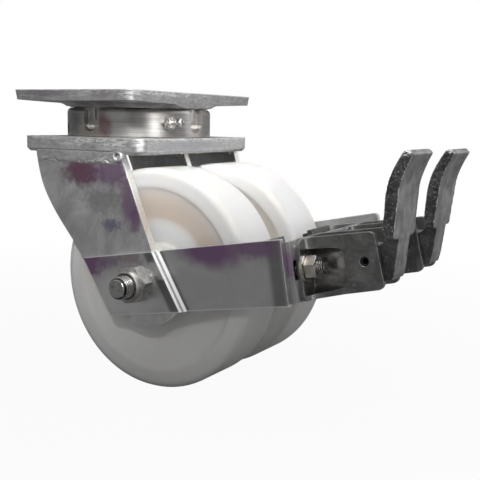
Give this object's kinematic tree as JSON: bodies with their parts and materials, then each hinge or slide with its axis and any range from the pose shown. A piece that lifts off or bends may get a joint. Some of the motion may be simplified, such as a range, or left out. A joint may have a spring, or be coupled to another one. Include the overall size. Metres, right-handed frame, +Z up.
{
  "type": "swivel castor",
  "caption": "Heavy-duty twin-wheel swivel castor: top plate, ball-bearing swivel head, welded steel fork, white nylon wheels and a foot brake for each wheel.",
  "frame": {"origin": "middle of the top plate's upper face, on the swivel axis", "axes": "+Z up along the swivel axis, +X towards the trailing wheels and the pedals, Y along the wheels' axle, -Y on the near side"},
  "size_m": [0.3802, 0.2365, 0.267],
  "materials": {
    "zinc_steel": "rough zinc-coated steel plate with flame-cut edges",
    "turned_steel": "turned steel, satin",
    "bright_zinc": "bright zinc-plated fastener",
    "bearing_steel": "ground bearing steel",
    "dark_steel": "dark pressed steel, slightly glossy",
    "cast_steel": "dark cast steel, sparkling at its rough edges",
    "nylon": "white cast nylon, faintly translucent",
    "brake_lining": "matt black friction lining"
  },
  "bodies": {
    "head": {"top_plate": "zinc_steel"},
    "fork": {"swivel_ring": "turned_steel", "swivel_balls": "bearing_steel", "fill_plug": "turned_steel", "grease_nipple": "bright_zinc", "fork_plate": "zinc_steel", "near_leg": "zinc_steel", "far_leg": "zinc_steel", "centre_leg": "zinc_steel", "leg_welds": "zinc_steel", "inner_rings": "bearing_steel", "axle_sleeves": "zinc_steel", "axle_bolt": "bright_zinc", "axle_washers": "bright_zinc", "axle_nut": "bright_zinc", "near_arm": "zinc_steel", "far_arm": "zinc_steel", "cross_channel": "zinc_steel", "near_housing": "dark_steel", "far_housing": "dark_steel", "housing_bolts": "bright_zinc", "housing_washers": "bright_zinc", "housing_nuts": "bright_zinc", "pivot_pins": "dark_steel"},
    "near_wheel_body": {"near_wheel": "nylon", "near_bearing_rings": "bearing_steel", "near_bearing_balls": "bearing_steel"},
    "far_wheel_body": {"far_wheel": "nylon", "far_bearing_rings": "bearing_steel", "far_bearing_balls": "bearing_steel"},
    "near_pedal_body": {"near_pedal": "cast_steel"},
    "far_pedal_body": {"far_pedal": "cast_steel"},
    "near_shoe_body": {"near_shoe": "zinc_steel", "near_lining": "brake_lining"},
    "far_shoe_body": {"far_shoe": "zinc_steel", "far_lining": "brake_lining"}
  },
  "joints": [
    {"name": "swivel", "type": "hinge", "parent": "head", "child": "fork", "pos_m": [0, 0, -0.0348], "axis": [0, 0, 1], "continuous": true},
    {"name": "near_wheel_spin", "type": "hinge", "parent": "fork", "child": "near_wheel_body", "pos_m": [0.072, -0.048, -0.167], "axis": [0, 1, 0], "continuous": true},
    {"name": "far_wheel_spin", "type": "hinge", "parent": "fork", "child": "far_wheel_body", "pos_m": [0.072, 0.048, -0.167], "axis": [0, 1, 0], "continuous": true},
    {"name": "near_pedal_tilt", "type": "hinge", "parent": "fork", "child": "near_pedal_body", "pos_m": [0.2697, -0.048, -0.13123], "axis": [0, 1, 0], "range_deg": [0, 50]},
    {"name": "far_pedal_tilt", "type": "hinge", "parent": "fork", "child": "far_pedal_body", "pos_m": [0.2697, 0.048, -0.13123], "axis": [0, 1, 0], "range_deg": [0, 47.5]},
    {"name": "near_shoe_slide", "type": "slide", "parent": "fork", "child": "near_shoe_body", "axis": [-0.9854, 0, -0.1702], "range_m": [0, 0.0038]},
    {"name": "far_shoe_slide", "type": "slide", "parent": "fork", "child": "far_shoe_body", "axis": [-0.9854, 0, -0.1702], "range_m": [0, 0.0038]}
  ],
  "couplings": [
    {"joint": "near_shoe_slide", "follows": "near_pedal_tilt", "m_per_rad": 0.004354},
    {"joint": "far_shoe_slide", "follows": "far_pedal_tilt", "m_per_rad": 0.004354}
  ]
}
